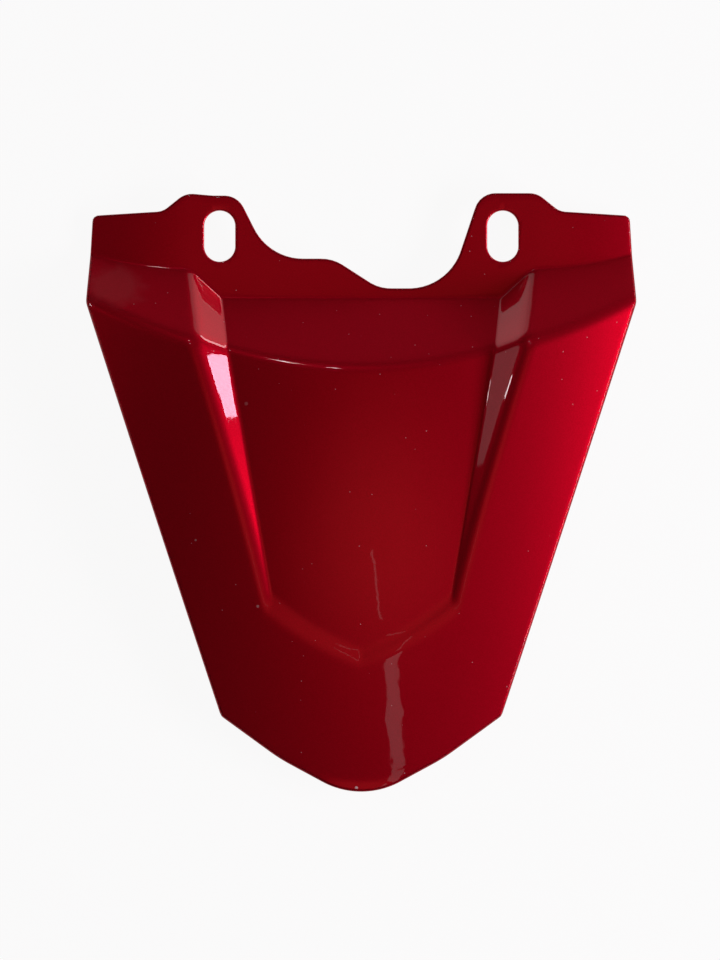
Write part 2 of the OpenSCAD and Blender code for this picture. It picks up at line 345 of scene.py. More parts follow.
class Outline:
    """The cover's outline in plan, clockwise from the middle of the left flange corner."""

    SPACING = 0.25 * MM
    FEWEST_STEPS = 4

    def __init__(self, form):
        self.points = []
        self.normals = []
        corners = self.corners(form)
        for i, (corner, radius) in enumerate(corners):
            before = corners[i - 1][0]
            after = corners[(i + 1) % len(corners)][0]
            self.add_corner(before, corner, after, radius)
        self.start_at_middle_of_first()
        steps = [(b - a).length for a, b in zip(self.points, self.points[1:])]
        self.lengths = [0, *accumulate(steps)]
        self.total = self.lengths[-1]

    def corners(self, form):
        """Corners with their radii: the front edge from left to right, the side, the nose, the side."""
        s = form.sizes
        shallow_y = form.front_y - s.bay_shallow
        deep_y = form.front_y - s.bay_deep
        shoulder_y = form.front_y - s.shoulder_setback
        flange_y = form.front_y - s.flange_setback
        left_ear_y = form.front_y - s.ear_tip_rise
        nose_corner_y = form.nose_y - s.nose_radius * (1 / math.cos(s.nose_angle) - 1)
        bend_y = nose_corner_y + math.tan(s.nose_angle) * s.nose_bend / 2
        front = [
            (-s.flange_width / 2, flange_y, s.flange_corner),
            (-s.ear_foot / 2, shoulder_y, s.shoulder_radius),
            (-s.ear_span / 2, form.front_y, s.ear_radius),
            (-s.ear_span / 2 + s.ear_tip_run, left_ear_y, s.ear_radius),
            (-s.ear_gap / 2 - s.bay_offset, left_ear_y, s.ear_radius),
            (-s.bay_floor / 2 - s.bay_offset, shallow_y, s.bay_radius),
            (s.bay_step - s.bay_step_run, shallow_y, s.bay_step_radius),
            (s.bay_step, deep_y, s.bay_step_radius),
            (s.bay_floor / 2 - s.bay_offset, deep_y, s.bay_radius),
            (s.ear_gap / 2 - s.bay_offset, form.front_y, s.ear_radius),
            (s.ear_span / 2, form.front_y, s.ear_radius),
            (s.ear_foot / 2, shoulder_y, s.shoulder_radius),
            (s.flange_width / 2, flange_y, s.flange_corner),
        ]
        side = [
            (s.cover_width / 2, form.front_y - s.crest_setback, s.crest_corner),
            (s.tail_width / 2, form.tail_y, s.tail_corner),
            (s.nose_bend / 2, bend_y, s.nose_bend_radius),
        ]
        mirrored = [(-x, y, radius) for x, y, radius in reversed(side)]
        tip = (0, nose_corner_y, s.nose_radius)
        return [(Vector((x, y)), radius) for x, y, radius in front + side + [tip] + mirrored]

    def add_corner(self, before, corner, after, radius):
        """Adds the straight edge up to a rounded corner, and the arc round it."""
        into = (corner - before).normalized()
        out = (after - corner).normalized()
        turn = math.atan2(into.x * out.y - into.y * out.x, into.dot(out))
        reach = radius * math.tan(abs(turn) / 2)
        begin = corner - into * reach
        hand = -1 if turn < 0 else 1
        centre = begin + left_of(into) * radius * hand
        if self.points:
            self.add_straight(begin, left_of(into))
        steps = max(self.FEWEST_STEPS, math.ceil(radius * abs(turn) / self.SPACING))
        heading = math.atan2(into.y, into.x)
        for angle in angles(turn, steps):
            outward = Vector((-math.sin(heading + angle), math.cos(heading + angle)))
            self.points.append(centre - outward * radius * hand)
            self.normals.append(outward)

    def add_straight(self, end, outward):
        start = self.points[-1]
        steps = max(1, math.ceil((end - start).length / self.SPACING))
        for i in range(1, steps):
            self.points.append(start.lerp(end, i / steps))
            self.normals.append(outward)

    def start_at_middle_of_first(self):
        """Closes the outline with its last straight edge and starts it within its first arc."""
        self.add_straight(self.points[0], self.normals[0])
        middle = 0
        while self.normals[middle].x < -self.normals[middle].y:
            middle += 1
        self.points = self.points[middle:] + self.points[:middle + 1]
        self.normals = self.normals[middle:] + self.normals[:middle + 1]

    def at(self, distance):
        """Point and outward normal at a distance along the outline."""
        j = bisect_right(self.lengths, distance, 1, len(self.lengths) - 1)
        i = j - 1
        t = (distance - self.lengths[i]) / (self.lengths[j] - self.lengths[i])
        return self.points[i].lerp(self.points[j], t), self.normals[i].lerp(self.normals[j], t)

    def where(self, test, low, high):
        """Distance between low and high from which test(point, normal) holds."""
        for _ in range(HALVINGS):
            middle = (low + high) / 2
            if test(*self.at(middle)):
                high = middle
            else:
                low = middle
        return high


def slide(point, axis, first, second):
    """Moves a plan point along one axis to where two surfaces meet."""
    point = point.copy()

    def gap(p):
        return first(p.x, p.y, 0) - second(p.x, p.y, 0)

    for _ in range(SLIDES):
        here = gap(point)
        ahead = point.copy()
        ahead[axis] += PROBE
        point[axis] -= here * PROBE / (gap(ahead) - here)
    return point


def meet(first, second, third, guess):
    """Plan point where three surfaces have one height."""
    point = guess.copy()
    for _ in range(MEETINGS):
        point = slide(point, 1, first, second)
        point = slide(point, 0, second, third)
    return slide(point, 1, first, second)


def spread(steps, start, end):
    """Shares of a length from 0 to 1, closer together where start or end is under 1."""
    cubic = start + end - 2
    square = 3 - 2 * start - end
    return [((cubic * i / steps + square) * i / steps + start) * i / steps for i in range(steps + 1)]


def both_sides(places):
    """Places on the left, in the middle and on the right, given those on the right."""
    return [-x for x in reversed(places)] + [0, *places]


def starts(patches):
    """Number of the line at which each patch starts, and of the last line."""
    return [0, *accumulate(steps for steps, *_ in patches)]


class Lattice:
    """Rows and columns of plan points that run along every edge of the form."""

    # Steps and end spacings between the lines that run along the cover, from the left edge
    TIGHT = 0.14
    COLUMNS = [
        (26, 1, TIGHT), (16, 0.4, 0.4), (20, TIGHT, 1), (18, 1, 1),
        (18, 1, 1), (20, 1, TIGHT), (16, 0.4, 0.4), (26, TIGHT, 1),
    ]
    # The same between the lines that run across it, from the front edge
    ROWS = [(16, 1, 0.3), (24, 0.25, 0.25), (56, 0.12, 0.14), (8, 0.8, 0.8), (32, 0.14, 1)]
    # Where the lines that follow an edge end on the sides, the front and the nose
    SIDE_ROWS_Y = (-31 * MM, -36 * MM)
    FRONT_X = (31 * MM, 47 * MM, 61 * MM)
    NOSE_X = (13 * MM, 21 * MM, 31 * MM)
    # Shares of the outline that reach past its right flange corner and its right rear corner
    PAST_FLANGE = 0.45
    PAST_REAR = 0.7
    # Y of the outward normal in the middle of a rear corner
    REAR_TURN = -0.65
    # From the foot of the side wall to its top, roughly, at the crest and at the rear
    CREST_GUESS = Vector((8 * MM, 2 * MM))
    REAR_GUESS = Vector((2 * MM, -3 * MM))
    # Where the foot's column meets the top edge of the panel's end, and how far before that edge
    # the row of the end's foot meets the top of the side wall
    END_SHARE = 0.96
    END_GAP = Vector((0, 1.5 * MM))
    # The key columns that follow the tops of the side walls, and the middle one
    SIDE_TOPS = (1, 7)
    MIDDLE = 4

    def __init__(self, form, outline):
        self.form = form
        self.outline = outline
        self.column_shares = [spread(*column) for column in self.COLUMNS]
        self.row_shares = [spread(*row) for row in self.ROWS]
        self.column_starts = starts(self.COLUMNS)
        self.row_starts = starts(self.ROWS)
        self.set_stations()
        self.set_crossings()

    def set_stations(self):
        """Distances along the outline of the ends of the lines, and of every row and column."""
        line = self.outline
        right = line.where(lambda p, n: n.x > n.y, 0, line.total * self.PAST_FLANGE)
        tail_right = line.where(
            lambda p, n: n.y < self.REAR_TURN and p.y < 0, right, line.total * self.PAST_REAR)
        tail_left = line.total - (tail_right - right)
        front = [line.where(lambda p, n, x=x: p.x > x, 0, right) for x in both_sides(self.FRONT_X)]
        self.front = self.stations([0] + front + [right], self.column_shares)
        form = self.form

        def band_is_over(surface, other):
            def test(p, n):
                q = p - n * form.sizes.rim_roll
                return surface(q.x, q.y, 0) > other(q.x, q.y, 0)
            return test

        flange_end = line.where(band_is_over(form.band, form.flange), right, tail_right)
        crest_end = line.where(band_is_over(form.band, form.crown), flange_end, tail_right)
        rear = [line.where(lambda p, n, y=y: p.y < y, right, tail_right) for y in self.SIDE_ROWS_Y]
        right_keys = [right, flange_end, crest_end] + rear + [tail_right]
        self.right = self.stations(right_keys, self.row_shares)
        left_keys = [line.total - (key - right) for key in right_keys]
        self.left = self.stations(left_keys, self.row_shares)
        nose = [
            line.where(lambda p, n, x=x: p.x < x, tail_right, tail_left) for x in both_sides(self.NOSE_X)]
        self.nose = self.stations([tail_left] + nose + [tail_right], self.column_shares)

    def stations(self, keys, shares):
        """Distances of every line along one edge, given those of its ends."""
        found = [keys[0]]
        for start, end, part in zip(keys, keys[1:], shares):
            found += [start + (end - start) * share for share in part[1:]]
        return found

    def set_crossings(self):
        """Where the form's own edges cross each other, on the right half."""
        form = self.form
        middle = self.FRONT_X[0] / form.front.x

        def plan(point):
            return Vector((point.x, point.y))

        crest_centre = slide(Vector((0, form.crest_y)), 1, form.floor, form.panel_band)
        crest_top = meet(form.crown, form.band, form.side, plan(form.crest) + self.CREST_GUESS)
        crest_middle = slide(plan(form.crest) * middle, 1, form.floor, form.panel_band)
        end_top = meet(form.end, form.crown, form.crown_side, plan(form.rear) + self.REAR_GUESS)
        end_foot_middle = slide(plan(form.tip).lerp(plan(form.rear), middle), 1, form.floor, form.end)
        end_top_centre = slide(plan(form.tip), 1, form.end, form.crown)
        end_top_middle = slide(end_top_centre.lerp(end_top, middle), 1, form.end, form.crown)
        end_top_foot = slide(end_top_centre.lerp(end_top, self.END_SHARE), 1, form.end, form.crown)
        side_top = slide(end_top + self.END_GAP, 0, form.crown, form.crown_side)
        self.crossings = [
            [Vector((0, form.panel_band_y)), Vector((self.FRONT_X[0], form.panel_band_y)),
             plan(form.front), plan(form.front_outer)],
            [crest_centre, crest_middle, plan(form.crest), crest_top],
            [plan(form.tip), end_foot_middle, plan(form.rear), side_top],
            [end_top_centre, end_top_middle, end_top_foot, end_top],
        ]

    def edge_point(self, distance, inset):
        point, normal = self.outline.at(distance)
        return point - normal * inset(point)

    def curve(self, start, end, shares, axis, pair):
        """Plan points between two crossings, slid along an axis to where a pair of surfaces meets."""
        points = [start.lerp(end, share) for share in shares]
        if pair:
            points[1:-1] = [slide(point, axis, *pair) for point in points[1:-1]]
        return points

    def plan(self, front_inset, side_inset):
        """Every row of plan points, with the outline's own points moved in."""
        front = [self.edge_point(s, front_inset) for s in self.front]
        nose = [self.edge_point(s, side_inset) for s in self.nose]
        right = [self.edge_point(s, side_inset) for s in self.right]
        left = [self.edge_point(s, side_inset) for s in self.left]
        front[0] = left[0]
        front[-1] = right[0]
        nose[0] = left[-1]
        nose[-1] = right[-1]
        key_rows = self.key_rows(right)
        for row, index in zip(key_rows, self.row_starts[1:]):
            row[0] = left[index]
        return self.fill([front] + key_rows + [nose], left, right)

    def key_rows(self, right):
        """The rows that follow the flange crease, the crest and the foot and top of the panel's end."""
        form = self.form
        crest = (form.floor, form.panel_band)
        foot = (form.floor, form.end)
        top = (form.end, form.crown)
        surfaces = [
            [None, None, None, (form.band, form.flange)],
            [crest, crest, None, (form.crown, form.band)],
            [foot, foot, None, None],
            [top, top, top, None],
        ]
        rows = []
        for crossings, pairs, index in zip(self.crossings, surfaces, self.row_starts[1:]):
            ends = crossings[1:] + [right[index]]
            half = []
            for start, end, pair, shares in zip(crossings, ends, pairs, self.column_shares[self.MIDDLE:]):
                half += self.curve(start, end, shares, 1, pair)[1:]
            mirrored = [Vector((-p.x, p.y)) for p in reversed(half)]
            rows.append(mirrored + [crossings[0]] + half)
        return rows

    def fill(self, key_rows, left, right):
        """Fills the patches between the key rows and the key columns."""
        form = self.form
        table = [[None] * (self.column_starts[-1] + 1) for _ in range(self.row_starts[-1] + 1)]
        on_crown = (form.crown_side, form.crown)
        side_pairs = {1: (form.side, form.band), 2: on_crown, 3: on_crown}
        for band, shares in enumerate(self.row_shares):
            top, bottom = key_rows[band:band + 2]
            first, last = self.row_starts[band:band + 2]
            curves = [left[first:last + 1]]
            for key, column in enumerate(self.column_starts[1:-1], 1):
                pair = side_pairs.get(band) if key in self.SIDE_TOPS else None
                curves.append(self.curve(top[column], bottom[column], shares, 0, pair))
            curves.append(right[first:last + 1])
            for key, column_shares in enumerate(self.column_shares):
                start, end = self.column_starts[key:key + 2]
                for i, v in enumerate(shares):
                    for j, u in enumerate(column_shares):
                        lines = top[start + j] * (1 - v) + bottom[start + j] * v
                        lines += curves[key][i] * (1 - u) + curves[key + 1][i] * u
                        corners = (top[start] * (1 - u) + top[end] * u) * (1 - v)
                        corners += (bottom[start] * (1 - u) + bottom[end] * u) * v
                        table[first + i][start + j] = lines - corners
        return table


class Rim:
    """The turned-down edge, as a strip of rings from the painted face round to the underside."""

    ROLL_STEPS = 6
    FOOT_STEPS = 3
    # Shares of the way in and of the way up, from the rim's foot to the underside
    INNER = [(0, 0), (0.28, 0.06), (0.36, 0.3), (0.42, 0.7), (0.52, 0.92), (0.72, 0.985), (1, 1)]
    FOOT_RADIUS = 0.45 * MM
    FRONT_LIP = 1 * MM
    FILLET = 0.4 * MM
    INNER_START = 0.3 * MM
    # How far past the band's end the rim starts, and over what length it comes in
    PAST_BAND = 1 * MM
    FADE = 5 * MM

    def __init__(self, form, lattice):
        self.form = form
        self.lattice = lattice

    def fullness(self, point):
        """0 along the flange, where there is no rim, and 1 along the sides and the nose."""
        return smooth_step((self.form.band_end_y + self.PAST_BAND - point.y) / self.FADE)

    def mix(self, low, high, share):
        return low + (high - low) * share

    def roll(self, share):
        return self.mix(self.form.sizes.front_roll, self.form.sizes.rim_roll, share)

    def lip(self, share):
        return self.mix(self.FRONT_LIP, self.form.sizes.rim_thickness, share)

    def inner_edge(self, share):
        """How far in from the outline the underside's own edge lies."""
        return self.lip(share) + self.FILLET

    def rings(self, distance, on_front):
        """Points from the painted face over the edge, down, under the foot and up inside."""
        form = self.form
        point, normal = self.lattice.outline.at(distance)
        share = 0 if on_front else self.fullness(point)
        roll = self.roll(share)
        found = []

        def at(inset):
            return point - normal * inset

        for angle in angles(math.pi / 2, self.ROLL_STEPS):
            p = at(roll * (1 - math.sin(angle)))
            found.append(Vector((p.x, p.y, form.height(p.x, p.y, 0) - roll * (1 - math.cos(angle)))))
        for angle in angles(math.pi / 2, self.FOOT_STEPS):
            p = at(self.FOOT_RADIUS * (1 - math.cos(angle)))
            lift = self.FOOT_RADIUS * (1 - math.sin(angle))
            found.append(Vector((p.x, p.y, form.rim_foot(p.x, p.y) + lift)))
        start = self.lip(share) - self.INNER_START
        for along, up in self.INNER:
            p = at(self.mix(start, self.inner_edge(share), along))
            foot = form.rim_foot(p.x, p.y)
            top = form.height(p.x, p.y, form.wall, *UNDERSIDE_EASE)
            found.append(Vector((p.x, p.y, self.mix(foot, top, up))))
        return found

    def columns(self):
        """Every ring of points round the outline, clockwise from the left flange corner."""
        lattice = self.lattice
        front = [self.rings(s, True) for s in lattice.front[1:-1]]
        rest = lattice.right + lattice.nose[-2:0:-1] + lattice.left[::-1]
        return [self.rings(lattice.left[0], False)] + front + [self.rings(s, False) for s in rest]


def clear_selection():
    if bpy.context.mode != "OBJECT":
        bpy.ops.object.mode_set(mode="OBJECT")
    bpy.ops.object.select_all(action="DESELECT")


def make_active(piece):
    clear_selection()
    piece.select_set(True)
    bpy.context.view_layer.objects.active = piece


def edit_all():
    """Opens the active piece in edit mode with all of it selected."""
    bpy.ops.object.mode_set(mode="EDIT")
    bpy.ops.mesh.select_all(action="SELECT")


def turn_outwards():
    """Turns the selected faces outwards and leaves edit mode."""
    bpy.ops.mesh.normals_make_consistent(inside=False)
    bpy.ops.object.mode_set(mode="OBJECT")


def grid_sheet(name, rows):
    """A grid primitive whose vertices take their places from rows of points."""
    clear_selection()
    down = len(rows) - 1
    across = len(rows[0]) - 1
    bpy.ops.mesh.primitive_grid_add(x_subdivisions=across, y_subdivisions=down, size=1)
    piece = bpy.context.object
    piece.name = name
    if len(piece.data.vertices) != (across + 1) * (down + 1):
        raise RuntimeError(f"{name}: the grid has {len(piece.data.vertices)} vertices")
    for vertex in piece.data.vertices:
        column = round((vertex.co.x + 0.5) * across)
        row = round((0.5 - vertex.co.y) * down)
        vertex.co = rows[row][column]
    return piece


def surface_rows(table, height):
    return [[Vector((p.x, p.y, height(p.x, p.y))) for p in row] for row in table]


# Within this distance, the edges of two sheets become one
WELD = 0.004 * MM


def join(pieces):
    """Joins sheets that share their edges into one closed shell."""
    make_active(pieces[0])
    for piece in pieces:
        piece.select_set(True)
    bpy.ops.object.join()
    edit_all()
    bpy.ops.mesh.remove_doubles(threshold=WELD)
    turn_outwards()
    return bpy.context.object


# Points round a slot, steps and angle of its edges' rounding, and how far its cutter stands past them
SLOT_POINTS = 96
EDGE_STEPS = 5
EDGE_ANGLE = math.radians(75)
CUTTER_PAST = 0.2 * MM


def slot_profile(form):
    """Radius and height of a slot's wall, from below the flange to above it, with rounded edges."""
    radius = form.sizes.slot_width / 2
    edge = form.sizes.slot_edge
    top = form.flange_z
    bottom = form.flange_z - form.wall
    upper = [
        (radius + edge * (1 - math.cos(a)), top - edge * (1 - math.sin(a)))
        for a in angles(EDGE_ANGLE, EDGE_STEPS)]
    climb = CUTTER_PAST / math.tan(math.pi / 2 - EDGE_ANGLE)
    upper.append((upper[-1][0] + climb, upper[-1][1] + CUTTER_PAST))
    lower = [(r, bottom + top - z) for r, z in reversed(upper)]
    return lower + upper


def slot_cutter(form, side):
    """A round spool, extruded ring by ring and then drawn out to the slot's length."""
    profile = slot_profile(form)
    centre = Vector((side * form.sizes.slot_spacing / 2, form.front_y - form.sizes.slot_setback, 0))
    half = (form.sizes.slot_length - form.sizes.slot_width) / 2
    clear_selection()
    bpy.ops.mesh.primitive_circle_add(vertices=SLOT_POINTS, radius=profile[0][0], fill_type="NGON")
    cutter = bpy.context.object
    edit_all()
    bpy.ops.transform.rotate(value=math.pi / SLOT_POINTS, orient_axis="Z", center_override=(0, 0, 0))
    bpy.ops.transform.translate(value=(0, 0, profile[0][1]))
    for (radius, z), (next_radius, next_z) in zip(profile, profile[1:]):
        bpy.ops.mesh.extrude_region_move(TRANSFORM_OT_translate={"value": (0, 0, next_z - z)})
        scale = next_radius / radius
        bpy.ops.transform.resize(value=(scale, scale, 1), center_override=(0, 0, next_z))
    bpy.ops.mesh.select_all(action="DESELECT")
    bpy.ops.object.mode_set(mode="OBJECT")
    for vertex in cutter.data.vertices:
        shift = half if vertex.co.y > 0 else -half
        vertex.co += centre + Vector((0, shift, 0))
    make_active(cutter)
    edit_all()
    turn_outwards()
    return cutter


def cut(piece, cutter):
    make_active(piece)
    bpy.ops.object.modifier_add(type="BOOLEAN")
    modifier = piece.modifiers[-1]
    modifier.operation = "DIFFERENCE"
    modifier.solver = "EXACT"
    modifier.object = cutter
    bpy.ops.object.modifier_apply(modifier=modifier.name)
    bpy.data.objects.remove(cutter, do_unlink=True)


def feed(tree, value, socket):
    """Links an output to a socket, or sets the socket to a plain value."""
    if isinstance(value, bpy.types.NodeSocket):
        tree.links.new(value, socket)
    else:
        socket.default_value = value


def feed_all(tree, made, **inputs):
    """Feeds a node's named inputs."""
    for name, value in inputs.items():
        feed(tree, value, made.inputs[name.replace("_", " ")])
    return made


def node(tree, kind, **inputs):
    """Adds a shader node and feeds its named inputs."""
    return feed_all(tree, tree.nodes.new(kind), **inputs)


def material(name):
    """A new material, with its tree, shader and object coordinates."""
    made = bpy.data.materials.new(name)
    made.use_nodes = True
    tree = made.node_tree
    place = tree.nodes.new("ShaderNodeTexCoord")
    return made, tree, tree.nodes["Principled BSDF"], place.outputs["Object"]


def mix_colour(tree, factor, first, second):
    """Mixes two colours or colour outputs by a factor output."""
    mixer = tree.nodes.new("ShaderNodeMix")
    mixer.data_type = "RGBA"
    feed(tree, factor, mixer.inputs[0])
    for value, socket in ((first, mixer.inputs[6]), (second, mixer.inputs[7])):
        feed(tree, value if isinstance(value, bpy.types.NodeSocket) else (*value, 1), socket)
    return mixer.outputs[2]


def ramp(tree, source, low, high):
    """0 where source is low and 1 where it is high."""
    return node(tree, "ShaderNodeMapRange", Value=source, From_Min=low, From_Max=high).outputs["Result"]


def noise(tree, place, scale, detail=2, roughness=0.5):
    made = node(tree, "ShaderNodeTexNoise", Vector=place, Scale=scale, Detail=detail, Roughness=roughness)
    return made.outputs["Fac"]


def combine(tree, kind, operation, first, second):
    """One value made of two values or outputs by a Math or Vector Math node."""
    made = tree.nodes.new(kind)
    made.operation = operation
    feed(tree, first, made.inputs[0])
    feed(tree, second, made.inputs[1])
    return made.outputs["Value"]


def multiply(tree, first, second):
    return combine(tree, "ShaderNodeMath", "MULTIPLY", first, second)


def bump(tree, height, distance):
    return node(tree, "ShaderNodeBump", Strength=1, Distance=distance, Height=height).outputs["Normal"]


# Scales of the patterns, in waves or cells per metre, and the heights of their bumps
FLAKE_SCALE = 2400
WAVE_SCALE = 30
WAVE_HEIGHT = 0.33 * MM
DUST_SCALE = 270
GRAIN_SCALE = 1800
GRAIN_HEIGHT = 0.01 * MM
MIST_SCALE = 60
# Values of the noise between which flake, grain and mist come in
FLAKE_RANGE = (0.35, 0.65)
GRAIN_RANGE = (0.3, 0.7)
MIST_RANGE = (0.35, 1)
# Distances from a cell's point, in cells, where a speck of dust starts and where it is full
DUST_FADE = (0.055, 0.04)
# Reds of a cell's random colour between which it comes to hold a speck
DUST_CELLS = (0.62, 0.64)
# Waves across a spot's radius and the range of its noise, which make its edge ragged, and
# the shares of its radius where it starts and where it is full
RAGGED = 1.4
RAGGED_RANGE = (-0.3, 0.75)
SPOT_EDGE = 0.9
SPOT_FULL = 0.5
# Finish of the paint, of its clear coat on the face and on the edges, and of the plastic
PAINT_METAL = 0.6
PAINT_ROUGHNESS = 0.42
COAT_ROUGHNESS = 0.03
COAT_IOR = 1.4
FACE_GLOSS = 1
EDGE_GLOSS = 0.3
PLASTIC_ROUGHNESS = 0.45
# How much lighter the plastic's grain is
GRAIN_LIGHT = 1.5
# Height at which the overspray inside starts, and that from which it may be full
MIST_TOP = 14 * MM
MIST_FULL = 3 * MM
# Plan place, radius and strength of each chip in the paint. The last, wide and faint, is painted sheen and
# a faint scuff at the left end of the band.
WEAR_AND_SHEEN = [
    (-1.6 * MM, -97.4 * MM, 0.5 * MM, 0.9),
    (-37.6 * MM, 29.1 * MM, 0.6 * MM, 0.2),
    (-54.3 * MM, -15.6 * MM, 0.4 * MM, 0.4),
    (-33.9 * MM, -37.3 * MM, 0.5 * MM, 0.4),
    # Painted sheen and faint scuff: a wide, faint patch of the chip colour at the left end of the band
    (-81 * MM, 68 * MM, 9 * MM, 0.03),
]


def specks(tree, place):
    """1 on a few scattered specks of dust and 0 elsewhere."""
    cells = node(tree, "ShaderNodeTexVoronoi", Vector=place, Scale=DUST_SCALE)
    few = node(tree, "ShaderNodeSeparateColor", Color=cells.outputs["Color"])
    dot = ramp(tree, cells.outputs["Distance"], *DUST_FADE)
    return multiply(tree, dot, ramp(tree, few.outputs[0], *DUST_CELLS))


def wear_and_sheen_spot(tree, place, centre, radius, strength):
    """Up to strength inside a ragged spot round a point, and 0 outside it."""
    away = combine(tree, "ShaderNodeVectorMath", "DISTANCE", place, centre)
    ragged = ramp(tree, noise(tree, place, RAGGED / radius, detail=4, roughness=0.6), *RAGGED_RANGE)
    spot = ramp(tree, multiply(tree, away, ragged), radius * SPOT_EDGE, radius * SPOT_FULL)
    return multiply(tree, spot, strength)


def candy_paint(name, colours, deep, bright, gloss, wear_and_sheen):
    """Metallic red base with fine flake under a clear coat, with dust, chips and a faint patch of painted
    sheen and scuff.
    """
    made, tree, shader, place = material(name)
    flake = ramp(tree, noise(tree, place, FLAKE_SCALE, detail=1), *FLAKE_RANGE)
    base = mix_colour(tree, flake, deep, bright)
    metal = ramp(tree, specks(tree, place), 1, 0)
    base = mix_colour(tree, metal, colours.dust, base)
    # Chips, and the faint patch of painted sheen and scuff at the band's left end, in the chip colour
    for centre, radius, strength in wear_and_sheen:
        spot = wear_and_sheen_spot(tree, place, centre, radius, strength)
        base = mix_colour(tree, spot, base, colours.chip_and_sheen)
        metal = multiply(tree, metal, ramp(tree, spot, 1, 0))
    waves = bump(tree, noise(tree, place, WAVE_SCALE, detail=4, roughness=0.4), WAVE_HEIGHT)
    feed_all(
        tree, shader, Base_Color=base, Metallic=multiply(tree, metal, PAINT_METAL), Coat_Normal=waves,
        Roughness=PAINT_ROUGHNESS, Specular_IOR_Level=0, Coat_Weight=gloss,
        Coat_Roughness=COAT_ROUGHNESS, Coat_IOR=COAT_IOR)
    return made


def bare_plastic(colours):
    """The moulded underside, with a mist of overspray low down near the edges."""
    made, tree, shader, place = material("bare_plastic")
    grain = ramp(tree, noise(tree, place, GRAIN_SCALE, detail=3), *GRAIN_RANGE)
    colour = mix_colour(tree, grain, colours.plastic, [c * GRAIN_LIGHT for c in colours.plastic])
    split = node(tree, "ShaderNodeSeparateXYZ", Vector=place)
    low_down = ramp(tree, split.outputs["Z"], MIST_TOP, MIST_FULL)
    cloud = noise(tree, place, MIST_SCALE, detail=5, roughness=0.65)
    mist = multiply(tree, low_down, ramp(tree, cloud, *MIST_RANGE))
    colour = mix_colour(tree, mist, colour, colours.depth)
    feed_all(
        tree, shader, Base_Color=colour, Normal=bump(tree, grain, GRAIN_HEIGHT),
        Roughness=PLASTIC_ROUGHNESS)
    return made


# Edges that turn by less are shaded smooth
SMOOTH_ANGLE = math.radians(40)


class TAILCOVER_OT_shell(bpy.types.Operator):
    """Builds the painted shell, cuts its two slots and finishes it"""

    bl_idname = "tail_cover.make_shell"
    bl_label = "Make the shell"

    def execute(self, context):
        form = Form(context.scene.tail_cover_shell)
        outline = Outline(form)
        lattice = Lattice(form, outline)
        rim = Rim(form, lattice)
        outer = lattice.plan(lambda p: rim.roll(0), lambda p: rim.roll(rim.fullness(p)))
        inner = lattice.plan(lambda p: rim.inner_edge(0), lambda p: rim.inner_edge(rim.fullness(p)))
        face = grid_sheet("painted_face", surface_rows(outer, lambda x, y: form.height(x, y, 0)))
        under = grid_sheet(
            "underside", surface_rows(inner, lambda x, y: form.height(x, y, form.wall, *UNDERSIDE_EASE)))
        edge = grid_sheet("rim", list(zip(*rim.columns())))
        colours = context.scene.tail_cover_paint
        wear_and_sheen = [(Vector((x, y, form.height(x, y, 0))), radius, strength) for x, y, radius, strength in WEAR_AND_SHEEN]
        face.data.materials.append(
            candy_paint("candy_red", colours, colours.depth, colours.candy, FACE_GLOSS, wear_and_sheen))
        # The rim takes a darker copy of the paint, with less coat gloss: painted shade along the cover's
        # edges.
        edge.data.materials.append(
            candy_paint("edge_red_painted_shade", colours, colours.edge, colours.depth, EDGE_GLOSS, []))
        under.data.materials.append(bare_plastic(colours))
        shell = join([face, edge, under])
        for side in (-1, 1):
            cut(shell, slot_cutter(form, side))
        make_active(shell)
        bpy.ops.object.shade_smooth_by_angle(angle=SMOOTH_ANGLE)
        shell.name = "painted_shell"
        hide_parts(NODE)
        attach(shell, BODY)
        return {"FINISHED"}


# How far every lamp stands from the frame's origin
LAMP_DISTANCE = 1.2
# Name, azimuth from +X, elevation, width, height, power and colour. The key and the fills light the
# cover, and the others are the small lights that its facets, creases and nose mirror.
LAMPS = [
    ("key", -12, 22, 0.95, 0.28, 13.5, (1, 0.93, 1)),
    ("low_side", 50, 5, 0.35, 0.14, 1.4, (1, 0.9, 0.9)),
    ("left_fill", 185, 20, 0.45, 0.2, 0.4, (1, 0.85, 0.65)),
    ("window", 19.8, 30.8, 0.13, 0.05, 0.5, (1, 0.7, 0.95)),
    ("grey_panel", 161, 30.5, 0.3, 0.14, 0.11, (1, 0.9, 0.95)),
    ("left_light", 160, 38, 0.06, 0.1, 0.4, (1, 0.9, 0.95)),
    ("crest_light", 104.5, 50, 0.05, 0.12, 0.5, (1, 0.9, 0.95)),
    ("crease_light", 98.6, 60, 0.016, 0.1, 0.12, (1, 0.9, 0.95)),
    ("rear_strip", 279, 71.5, 0.011, 0.22, 0.007, (1, 0.85, 0.9)),
    ("rear_patch", 281, 56, 0.06, 0.27, 0.05, (1, 0.85, 0.9)),
]


def area_lamp(name, azimuth, elevation, width, height, power, colour):
    """A rectangular lamp that faces the origin from an azimuth and elevation in degrees."""
    clear_selection()
    turn = math.radians(azimuth)
    lift = math.radians(elevation)
    direction = Vector((math.cos(turn) * math.cos(lift), math.sin(turn) * math.cos(lift), math.sin(lift)))
    bpy.ops.object.light_add(type="AREA", location=direction * LAMP_DISTANCE)
    lamp = bpy.context.object
    lamp.name = name
    lamp.data.shape = "RECTANGLE"
    lamp.data.size = width
    lamp.data.size_y = height
    lamp.data.energy = power
    lamp.data.color = colour
    lamp.rotation_euler = direction.to_track_quat("Z", "Y").to_euler()


# Share of plain white that the camera and mirrors see of the floor. The rest keeps its shadow.
FLOOR_WHITE = 0.93
# The room's horizon and dark, and the Z of the directions between which one turns into the other
HORIZON = (0.75, 0.75, 0.77)
DARK = (0.02, 0.018, 0.018)
HORIZON_FADE = (0.08, 0.12)
# The glow overhead: its middle, the cosines from there at which it starts and is full, its colour
GLOW_MIDDLE = (0.07, -0.22, 0.973)
GLOW_FADE = (0.93, 0.998)
GLOW = (1, 0.1, 0.09)


